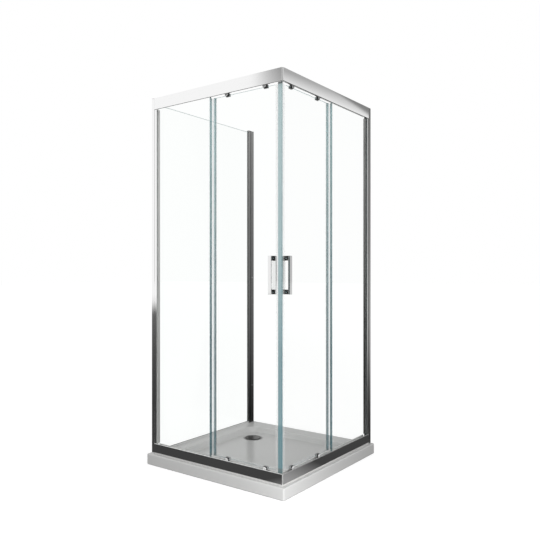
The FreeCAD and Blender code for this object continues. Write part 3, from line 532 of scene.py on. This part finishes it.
# ---------------------------------------------------------------- glass
# Toughened clear glass, 6 mm thick. Its edges are ground and arrissed, and there the glass is seen
# along its depth, so that they look green. Rubber strips hold the fixed panes in their profiles.
# The edges' green is painted darker towards the foot, as painted shade.
EDGE_TOP = (0.75, 0.95, 0.96, 1.0)
EDGE_PAINTED_SHADE_FOOT = (0.11, 0.20, 0.21, 1.0)
GLASS_TINT = (0.996, 1.0, 0.998, 1.0)
PAINTED_SHADE_FROM = 0.62
PAINTED_SHADE_RISE = 1.13
GLASS_BENDING = 1.35
GLASS_GLOSS = 0.03
BROAD_FACE = 0.9
ARRIS = 0.0006
CORNER_BAND = 0.78


def clear_glass(name, facing):
    """Clear panes: facing is the axis of the big faces, and the thin faces are the green edges, except
    where the doors meet, as the magnet strips cover them there."""
    finish = new_finish(name)
    normal = finish.add("ShaderNodeNewGeometry")["True Normal"]
    across = finish.add("ShaderNodeSeparateXYZ", {}, {"Vector": normal})[facing]
    # How far up the painted shade on the green edges has lightened.
    height = ((finish.along["Z"] - PAINTED_SHADE_FROM) / PAINTED_SHADE_RISE).held()
    clear = finish.add("ShaderNodeBsdfTransparent", {}, {"Color": GLASS_TINT})["BSDF"]
    gloss = finish.add("ShaderNodeBsdfGlossy", {}, {"Roughness": 0.0})["BSDF"]
    fresnel = finish.add("ShaderNodeFresnel", {}, {"IOR": GLASS_BENDING})["Fac"]
    pane = finish.add("ShaderNodeMixShader", {}, {0: fresnel * GLASS_GLOSS, 1: clear, 2: gloss})["Shader"]
    ground = finish.add("ShaderNodeBsdfPrincipled", {}, {
        "Base Color": finish.blend(height, EDGE_PAINTED_SHADE_FOOT, EDGE_TOP),
        "Roughness": finish.noise(300.0) * 0.1 + 0.25,
    })["BSDF"]
    in_the_open = (finish.along["X"] - finish.along["Y"]) < CORNER_BAND
    edge = (abs(across) < BROAD_FACE) * in_the_open
    finish.close(finish.add("ShaderNodeMixShader", {}, {0: edge, 1: pane, 2: ground})["Shader"])
    return finish


left_glass = clear_glass("left_clear_glass", "Y")
right_glass = clear_glass("right_clear_glass", "X")
for pane in ("left_fixed_glass", "left_door_glass"):
    takes_place(eased(pane, ARRIS, 1), pane, left_glass)
for pane in ("right_fixed_glass", "right_door_glass", "side_glass"):
    takes_place(eased(pane, ARRIS, 1), pane, right_glass)

GASKET = (0.25, 0.25, 0.25, 1.0)
GASKET_DULL = (0.20, 0.20, 0.20, 1.0)
GASKET_PALE = (0.80, 0.80, 0.79, 1.0)

gasket = new_finish("grey_rubber")
gasket_grey = gasket.blend(gasket.noise(80.0), GASKET, GASKET_DULL)
gasket.surface({
    "Base Color": gasket.blend(beside_the_post(gasket), gasket_grey, GASKET_PALE),
    "Roughness": 0.6,
})
dress(gasket, "glazing_gaskets")


# ---------------------------------------------------------------- seals
# Clear soft plastic clips push on over the edges of the glass. They can hardly be seen, but where
# they lie against a ground edge, and at the magnet where the doors meet, they carry its green.
SEAL_CLEAR = (0.80, 0.83, 0.83, 1.0)
# The seals' green is painted darker towards the foot, and nearly black inside the rails, as painted shade.
SEAL_TOP = (0.56, 0.79, 0.81, 1.0)
SEAL_PAINTED_SHADE_FOOT = (0.105, 0.225, 0.255, 1.0)
SEAL_PAINTED_SHADE_IN_RAILS = (0.10, 0.16, 0.17, 1.0)
MAGNET_FROM = 0.391
MAGNET_FRONT = -0.4065
FIXED_EDGE = 0.015
TRAILING_EDGE = 0.003
GLOW = 0.004
RAIL_OVERLAP = 0.005
SEAL_PAINTED_SHADE_BELOW = 0.13

seal = new_finish("clear_seal")
seal_x = seal.along["X"]
seal_y = seal.along["Y"]
magnets = (seal_x > MAGNET_FROM) * (seal_y < MAGNET_FRONT)
fixed_edges = (abs(seal_x + FIXED_EDGE) < GLOW) + (abs(seal_y - FIXED_EDGE) < GLOW)
trailing_edges = (abs(seal_x - TRAILING_EDGE) < GLOW) + (abs(seal_y + TRAILING_EDGE) < GLOW)
beside_edges = (fixed_edges + trailing_edges).held()
green = (magnets + beside_edges).held()
seal_height = ((seal.along["Z"] - PAINTED_SHADE_FROM) / PAINTED_SHADE_RISE).held()
# Within the top and bottom rails the seals are painted nearly black, as painted shade.
painted_shade_in_rails = (seal.along["Z"] > rail_low.z - RAIL_OVERLAP) + (seal.along["Z"] < SEAL_PAINTED_SHADE_BELOW)
seal_green_and_painted_shade = seal.blend(painted_shade_in_rails, seal.blend(seal_height, SEAL_PAINTED_SHADE_FOOT, SEAL_TOP), SEAL_PAINTED_SHADE_IN_RAILS)
seal.surface({
    "Base Color": seal.blend(green, SEAL_CLEAR, seal_green_and_painted_shade),
    "Roughness": seal.noise(60.0) * 0.1 + 0.2,
    "Alpha": magnets * 0.75 + beside_edges * 0.35 + 0.10,
})
dress(seal, "fixed_edge_seals", "left_magnetic_seal", "right_magnetic_seal",
      "left_door_seals", "right_door_seals")


# ---------------------------------------------------------------- handles
# Flat bow handles of chromed brass, one on each side of the glass, on two legs. Two studs through
# the drilled pane pull the pair together.
BAR_DEPTH = 0.011
LEG_HEIGHT = 0.022
LEG_WIDTH = 0.014
LEG_REACH = 0.0130
RIGHT_FRONT = 0.4145
HANDLE_EDGE = 0.0018
CHROME = (0.86, 0.86, 0.86, 1.0)
CHROME_DULL = (0.78, 0.78, 0.78, 1.0)
# A darker chrome for the right outer bar, as painted shade on its turned side.
CHROME_PAINTED_SHADE = (0.58, 0.58, 0.58, 1.0)
# Nearly black for the handles' legs, as painted dark reflection on their chrome.
LEG_PAINTED_REFLECTION = (0.07, 0.07, 0.07, 1.0)

handle_low, handle_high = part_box("left_outer_handle")
handle_middle = middle_of("left_outer_handle")
pane_y = middle_of("left_door_glass").y
leg_start = (handle_high.z - handle_low.z) / 2.0 - LEG_HEIGHT

chrome = new_finish("chrome")
# The legs at both ends of each bar are painted nearly black, as painted dark reflection.
at_the_ends = abs(chrome.along["Z"] - handle_middle.z) > leg_start
by_left_pane = abs(chrome.along["Y"] - pane_y) < LEG_REACH
by_right_pane = abs(chrome.along["X"] + pane_y) < LEG_REACH
legs = at_the_ends * (by_left_pane + by_right_pane).held()
# The right outer bar gets the darker chrome, as painted shade.
bar_chrome = chrome.blend(chrome.along["X"] > RIGHT_FRONT, CHROME, CHROME_PAINTED_SHADE)
bar_chrome = chrome.blend(chrome.noise(30.0) * 0.1, bar_chrome, CHROME_DULL)
chrome.surface({
    "Base Color": chrome.blend(legs, bar_chrome, LEG_PAINTED_REFLECTION),
    "Metallic": 1.0,
    "Roughness": chrome.noise(70.0) * 0.03 + 0.04,
})
dress(chrome, "left_handle_studs", "right_handle_studs")


def turned_copy(first, name, degrees, start, end):
    """A like piece with its own mesh, turned about the upright through start, then carried to end."""
    piece = bpy.data.objects.new(name, first.data.copy())
    bpy.context.scene.collection.objects.link(piece)
    turn = Matrix.Rotation(math.radians(degrees), 4, "Z")
    piece.data.transform(Matrix.Translation(end) @ turn @ Matrix.Translation(-start))
    return piece


bar_back = handle_low.y + BAR_DEPTH
bar_size = (handle_high.x - handle_low.x, BAR_DEPTH, handle_high.z - handle_low.z)
bar_middle = (handle_middle.x, handle_low.y + BAR_DEPTH / 2.0, handle_middle.z)
bpy.ops.object.select_all(action="DESELECT")
bpy.ops.mesh.primitive_cube_add(size=1.0, location=bar_middle, scale=bar_size)
bow = bpy.context.object
bow.name = "left_outer_bow"
bpy.ops.object.transform_apply(location=True, rotation=True, scale=True)
bpy.ops.object.mode_set(mode="EDIT")
for cut in (handle_low.z + LEG_HEIGHT, handle_high.z - LEG_HEIGHT):
    bpy.ops.mesh.select_all(action="SELECT")
    bpy.ops.mesh.bisect(plane_co=(0.0, 0.0, cut), plane_no=(0.0, 0.0, 1.0))
for side in (-1.0, 1.0):
    bpy.ops.mesh.select_all(action="SELECT")
    leg_side = bar_middle[0] + side * LEG_WIDTH / 2.0
    bpy.ops.mesh.bisect(plane_co=(leg_side, 0.0, 0.0), plane_no=(1.0, 0.0, 0.0))


def on_a_leg(at):
    beside = abs(at.x - bar_middle[0]) < LEG_WIDTH / 2.0 + HAIR
    low_or_high = abs(at.z - bar_middle[2]) > bar_size[2] / 2.0 - LEG_HEIGHT - HAIR
    return at.y > bar_back - HAIR and beside and low_or_high


pick(bow, "FACE", on_a_leg)
reach = (0.0, handle_high.y - bar_back, 0.0)
bpy.ops.mesh.extrude_region_move(TRANSFORM_OT_translate={"value": reach})
bpy.ops.object.mode_set(mode="OBJECT")
alone(bow)
bpy.ops.object.modifier_add(type="BEVEL")
bow.modifiers[-1].width = HANDLE_EDGE
bow.modifiers[-1].segments = 3
bow.modifiers[-1].limit_method = "ANGLE"
bpy.ops.object.modifier_apply(modifier=bow.modifiers[-1].name)
smoothed(bow, 50.0)

turns = {"left_inner_handle": 180.0, "right_outer_handle": 90.0, "right_inner_handle": 270.0}
for node, degrees in turns.items():
    other = turned_copy(bow, node.replace("handle", "bow"), degrees, handle_middle, middle_of(node))
    takes_place(other, node, chrome)
takes_place(bow, "left_outer_handle", chrome)


# ---------------------------------------------------------------- carriages, covers and wheels
# Four plastic carriages on each door grip the glass; each has two grooved nylon wheels that run on
# the ridges in the rails. A small domed cover, moulded and chromed, clips over each carriage.
COVER_LENGTH = 0.026
COVER_HEIGHT = 0.024
COVER_DOME = 0.0042
COVER_WALL = 0.0015
COVER_SIDES = 48
COVER_FACE = 0.0004
# Nearly black and nearly white for the covers: painted dark reflection on the rim and painted highlight on
# the front.
CAP_PAINTED_DARK_RIM = (0.015, 0.015, 0.015, 1.0)
CAP_PAINTED_HIGHLIGHT = (0.92, 0.92, 0.92, 1.0)

dress(plastic, "left_carriages", "right_carriages")

covers_low, covers_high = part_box("left_carriage_covers")
cover_depth = covers_high.y - covers_low.y
cover_y = middle_of("left_carriage_covers").y


def cover_middle(door, wheel):
    """The middle of the cover over the carriage whose first wheel has this number."""
    pair = (middle_of(f"{door}_wheel_{wheel}") + middle_of(f"{door}_wheel_{wheel + 1}")) / 2.0
    z = covers_low.z + COVER_HEIGHT / 2.0 if wheel < 5 else covers_high.z - COVER_HEIGHT / 2.0
    return Vector((pair.x, cover_y, z)) if door == "left" else Vector((-cover_y, pair.y, z))


cap = new_finish("cap_chrome")
front = covers_low.y + COVER_FACE
# Each cover's front face is painted nearly white as a painted highlight, and the rest nearly black as
# painted dark reflection.
painted_highlight_face = ((cap.along["Y"] < front) + (cap.along["X"] > -front)).held()
cap.surface({
    "Base Color": cap.blend(painted_highlight_face, CAP_PAINTED_DARK_RIM, CAP_PAINTED_HIGHLIGHT),
    "Metallic": 0.3,
    "Roughness": cap.noise(70.0) * 0.03 + 0.2,
})

first_cover = cover_middle("left", 1)
bpy.ops.object.select_all(action="DESELECT")
bpy.ops.mesh.primitive_cylinder_add(
    vertices=COVER_SIDES, radius=COVER_HEIGHT / 2.0, depth=cover_depth, location=first_cover,
    rotation=(math.radians(90.0), math.pi / COVER_SIDES, 0.0))
cover = bpy.context.object
cover.name = "left_cover_1"
bpy.ops.object.transform_apply(location=True, rotation=True, scale=True)
stretch = (COVER_LENGTH - COVER_HEIGHT) / 2.0
pick(cover, "VERT", lambda at: at.x > first_cover.x)
bpy.ops.transform.translate(value=(stretch, 0.0, 0.0))
pick(cover, "VERT", lambda at: at.x < first_cover.x)
bpy.ops.transform.translate(value=(-stretch, 0.0, 0.0))
pick(cover, "FACE", lambda at: at.y > covers_high.y - HAIR)
bpy.ops.mesh.delete(type="FACE")
pick(cover, "EDGE", lambda at: at.y < covers_low.y + HAIR)
bpy.ops.mesh.bevel(offset=COVER_DOME, segments=7)
bpy.ops.object.mode_set(mode="OBJECT")
alone(cover)
bpy.ops.object.modifier_add(type="SOLIDIFY")
cover.modifiers[-1].thickness = COVER_WALL
cover.modifiers[-1].offset = -1.0
bpy.ops.object.modifier_apply(modifier=cover.modifiers[-1].name)
smoothed(cover)

for door, degrees in (("left", 0.0), ("right", 90.0)):
    for wheel in (1, 3, 5, 7):
        if (door, wheel) == ("left", 1):
            continue
        place = cover_middle(door, wheel)
        other = turned_copy(cover, f"{door}_cover_{wheel}", degrees, first_cover, place)
        takes_place(other, door + "_carriage_covers", cap)
takes_place(cover, "left_carriage_covers", cap)

NYLON = (0.72, 0.72, 0.70, 1.0)
NYLON_DULL = (0.65, 0.65, 0.63, 1.0)

nylon = new_finish("white_nylon")
nylon.surface({
    "Base Color": nylon.blend(nylon.noise(90.0), NYLON, NYLON_DULL),
    "Roughness": nylon.noise(200.0) * 0.1 + 0.35,
})
for door in ("left", "right"):
    for wheel in range(1, 9):
        dress(nylon, f"{door}_wheel_{wheel}")


# ---------------------------------------------------------------- the studio
# A pale floor under a soft white room. Metal mirrors a dark floor in front of it, with one pale
# patch beside the corner, and the bright walls further off.
FLOOR_SIZE = 90.0
FLOOR_SPAN = 30.0
FLOOR_GREY = (0.35, 0.35, 0.35, 1.0)
FLOOR_GLOW = 0.8
FLOOR_BEHIND = (0.97, 0.97, 0.97, 1.0)
PATCH = (0.32, 0.32, 0.32, 1.0)
PATCH_PLACE = (0.66, -0.38, 0.0)
PATCH_RADIUS = 0.5
PATCH_BLUR = 0.3
SIGHT_X = -0.592
SIGHT_Y = 0.806
BEHIND_FROM = 0.7
BEHIND_RISE = 2.0
WHITE = (1.0, 1.0, 1.0, 1.0)

bpy.ops.object.select_all(action="DESELECT")
bpy.ops.mesh.primitive_plane_add(size=FLOOR_SIZE, location=(0.0, 0.0, 0.0))
floor = bpy.context.object
floor.name = "studio_floor"

ground = new_finish("studio_floor")
path = ground.add("ShaderNodeLightPath")
away = ground.add("ShaderNodeVectorMath", {"operation": "LENGTH"}, {"Vector": ground.place})["Value"]
distance = {0: ground.place, 1: PATCH_PLACE}
from_patch = ground.add("ShaderNodeVectorMath", {"operation": "DISTANCE"}, distance)["Value"]
along_sight = ground.along["X"] * SIGHT_X + ground.along["Y"] * SIGHT_Y
behind = ((along_sight - BEHIND_FROM) / BEHIND_RISE).held()
# How bright metal sees the floor, by the distance from the object as a share of the floor's span.
far = ground.add("ShaderNodeValToRGB", {"stops": [
    (0.0, 0.055), (0.07, 0.045), (0.25, 0.10), (0.41, 0.13), (0.60, 0.82), (0.80, 0.97)]},
    {"Fac": away / FLOOR_SPAN})["Color"]
patch = ((PATCH_RADIUS - from_patch) / PATCH_BLUR).held()
floor_mirrored = ground.blend(behind, ground.blend(patch, far, PATCH), FLOOR_BEHIND)
pale = ground.add("ShaderNodeBsdfDiffuse", {}, {"Color": FLOOR_GREY})["BSDF"]
lit = ground.add("ShaderNodeEmission", {}, {"Color": WHITE, "Strength": FLOOR_GLOW})["Emission"]
seen = ground.add("ShaderNodeAddShader", {}, {0: pale, 1: lit})["Shader"]
mirrored = ground.add("ShaderNodeEmission", {}, {"Color": floor_mirrored, "Strength": 1.0})["Emission"]
direct = ground.add("ShaderNodeMixShader", {}, {0: path["Is Camera Ray"], 1: pale, 2: seen})["Shader"]
whole_floor = {0: path["Is Glossy Ray"], 1: direct, 2: mirrored}
ground.close(ground.add("ShaderNodeMixShader", {}, whole_floor)["Shader"])
floor.data.materials.append(ground.owner)

WORLD_LIGHT = 0.62
STEEP_FROM = 0.20
STEEP_RISE = 0.16

room = Finish(bpy.data.worlds.new("studio_room"))
bpy.context.scene.world = room.owner
room_path = room.add("ShaderNodeLightPath")
way = room.add("ShaderNodeSeparateXYZ", {}, {"Vector": room.add("ShaderNodeTexCoord")["Generated"]})
bearing = way["Y"].maths("ARCTAN2", way["Y"], way["X"]) / (2.0 * math.pi) + 0.5
# Both ramps run once round the room: a share of the turn, and how bright the wall is there.
low_walls = room.add("ShaderNodeValToRGB", {"stops": [
    (0.00, 0.97), (0.17, 0.97), (0.20, 0.60), (0.25, 0.50), (0.40, 0.70), (0.50, 0.60),
    (0.60, 0.70), (0.648, 0.84), (0.6732, 0.84), (0.6748, 0.25), (0.78, 0.25), (0.90, 0.90)]},
    {"Fac": bearing})["Color"]
high_walls = room.add("ShaderNodeValToRGB", {"stops": [
    (0.00, 0.97), (0.146, 0.97), (0.150, 0.05), (0.20, 0.30), (0.40, 0.70), (0.50, 0.60),
    (0.60, 0.50), (0.648, 0.42), (0.6732, 0.42), (0.6748, 0.22), (0.78, 0.25), (0.90, 0.90)]},
    {"Fac": bearing})["Color"]
steep = ((way["Z"] - STEEP_FROM) / STEEP_RISE).held()
walls = room.blend(steep, low_walls, high_walls)
mirrored_room = room.add("ShaderNodeBackground", {}, {"Color": walls, "Strength": 1.0})["Background"]
white_room = room.add("ShaderNodeBackground", {}, {"Color": WHITE, "Strength": 1.0})["Background"]
soft_room = room.add("ShaderNodeBackground", {}, {"Color": WHITE, "Strength": WORLD_LIGHT})["Background"]
direct_room = {0: room_path["Is Camera Ray"], 1: soft_room, 2: white_room}
direct_room = room.add("ShaderNodeMixShader", {}, direct_room)["Shader"]
whole_room = {0: room_path["Is Glossy Ray"], 1: direct_room, 2: mirrored_room}
room.close(room.add("ShaderNodeMixShader", {}, whole_room)["Shader"])


def soft_lamp(name, place, size, energy, tilt, turn):
    """A soft box that lights the object and isn't seen in it."""
    bpy.ops.object.light_add(type="AREA", location=place)
    lamp = bpy.context.object
    lamp.name = name
    lamp.data.size = size
    lamp.data.energy = energy
    lamp.visible_glossy = False
    lamp.rotation_euler = (math.radians(tilt), 0.0, math.radians(turn))


soft_lamp("corner_lamp", (1.25, -0.95, 0.35), 0.6, 11.0, 90.0, 58.0)
soft_lamp("front_lamp", (-0.2, -2.6, 0.5), 1.2, 9.0, 90.0, 0.0)

CAMERA_PLACE = (2.0013, -2.6682, 1.0338)
CAMERA_TURN = (math.radians(90.0), 0.0, math.radians(36.29))
SENSOR_WIDTH = 36.0
LENS = 40.13
LENS_SHIFT = 0.0033

bpy.ops.object.camera_add(location=CAMERA_PLACE, rotation=CAMERA_TURN)
camera = bpy.context.object
camera.data.sensor_width = SENSOR_WIDTH
camera.data.lens = LENS
camera.data.shift_y = LENS_SHIFT
bpy.context.scene.camera = camera
bpy.context.scene.view_settings.view_transform = "Standard"
